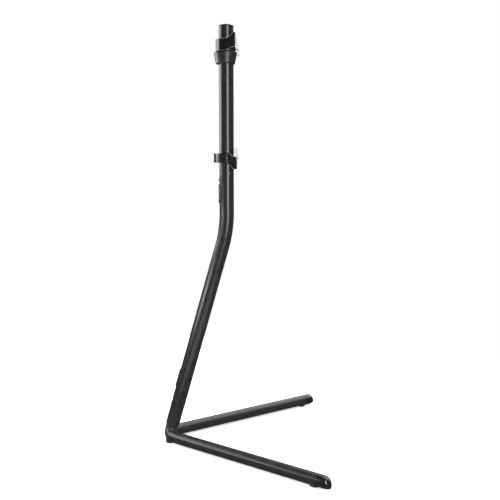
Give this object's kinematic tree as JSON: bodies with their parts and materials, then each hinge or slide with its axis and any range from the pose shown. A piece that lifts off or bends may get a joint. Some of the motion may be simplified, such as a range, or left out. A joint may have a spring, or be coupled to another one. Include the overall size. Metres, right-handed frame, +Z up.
{
  "type": "leaning floor stand",
  "caption": "Free-standing floor stand: a bent round mast on a V-shaped tube base, with a stop ring and two height-adjustable swivelling plates for a screen or tool.",
  "frame": {"origin": "centre of the outline on the floor, at floor level", "axes": "+Z up; the plates face -Y and the V-shaped base opens towards -Y; X = 0 is the plane of symmetry"},
  "size_m": [0.8194, 0.5605, 1.45],
  "materials": {
    "black_coat": "satin black powder coat",
    "bracket_coat": "satin black powder coat",
    "gloss_plastic": "semi-gloss black moulding",
    "matt_plastic": "matt black moulding",
    "pale_nylon": "pale grey nylon",
    "bush_nylon": "dark nylon",
    "rubber": "matt rubber",
    "zinc": "bright zinc plate",
    "black_screw": "blackened steel"
  },
  "bodies": {
    "stand": {"mast_lower_tube": "black_coat", "mast_upper_tube": "black_coat", "base_hub": "black_coat", "left_leg_tube": "black_coat", "right_leg_tube": "black_coat", "top_cap": "gloss_plastic", "left_leg_end_cap": "gloss_plastic", "right_leg_end_cap": "gloss_plastic", "left_rear_foot_pad": "rubber", "left_front_foot_pad": "rubber", "right_rear_foot_pad": "rubber", "right_front_foot_pad": "rubber", "mast_joint_sleeve": "zinc", "mast_joint_nut": "zinc", "mast_joint_screw": "black_screw", "hub_mast_screw_1": "black_screw", "hub_mast_screw_2": "black_screw", "left_leg_joint_screw_1": "black_screw", "left_leg_joint_screw_2": "black_screw", "right_leg_joint_screw_1": "black_screw", "right_leg_joint_screw_2": "black_screw", "left_rear_foot_screw": "black_screw", "left_front_foot_screw": "black_screw", "right_rear_foot_screw": "black_screw", "right_front_foot_screw": "black_screw"},
    "stop_ring": {"stop_ring": "matt_plastic"},
    "stop_ring_screw": {"stop_ring_screw": "black_screw"},
    "upper_bracket": {"upper_bracket": "bracket_coat", "upper_bush": "bush_nylon", "upper_guide_lip": "pale_nylon", "upper_lip_screw": "black_screw"},
    "lower_collar": {"lower_bush": "bush_nylon"},
    "lower_bracket": {"lower_bracket": "bracket_coat", "lower_clamp_shell": "bracket_coat", "lower_shell_left_screw": "black_screw", "lower_shell_right_screw": "black_screw", "lower_guide_lip": "pale_nylon", "lower_lip_screw": "black_screw"},
    "lower_clamp_screw": {"lower_clamp_screw": "black_screw"},
    "upper_cable_cover": {"upper_cable_cover": "matt_plastic"},
    "lower_cable_cover": {"lower_cable_cover": "matt_plastic"}
  },
  "joints": [
    {"name": "stop_ring_height", "type": "slide", "parent": "stand", "child": "stop_ring", "axis": [0, 0, 1], "range_m": [-0.15, 0.02]},
    {"name": "stop_ring_screw_turn", "type": "hinge", "parent": "stop_ring", "child": "stop_ring_screw", "pos_m": [0, 0.0872, 1.336], "axis": [1, 0, 0], "range_deg": [0, 720]},
    {"name": "upper_bracket_swivel", "type": "hinge", "parent": "stop_ring", "child": "upper_bracket", "pos_m": [0, 0.0558, 1.381], "axis": [0, 0, 1], "range_deg": [-60, 60]},
    {"name": "lower_bracket_height", "type": "slide", "parent": "stand", "child": "lower_collar", "axis": [0, 0, 1], "range_m": [-0.045, 0.11]},
    {"name": "lower_bracket_swivel", "type": "hinge", "parent": "lower_collar", "child": "lower_bracket", "pos_m": [0, 0.0558, 1.004], "axis": [0, 0, 1], "range_deg": [-60, 60]},
    {"name": "lower_clamp_screw_turn", "type": "hinge", "parent": "lower_bracket", "child": "lower_clamp_screw", "pos_m": [0, 0.0938, 1.004], "axis": [0, 1, 0], "range_deg": [0, 720]},
    {"name": "upper_cable_cover_pull", "type": "slide", "parent": "stand", "child": "upper_cable_cover", "axis": [0, 1, 0], "range_m": [0, 0.025]},
    {"name": "lower_cable_cover_pull", "type": "slide", "parent": "stand", "child": "lower_cable_cover", "axis": [0, 0.9622, 0.2723], "range_m": [0, 0.025]}
  ]
}
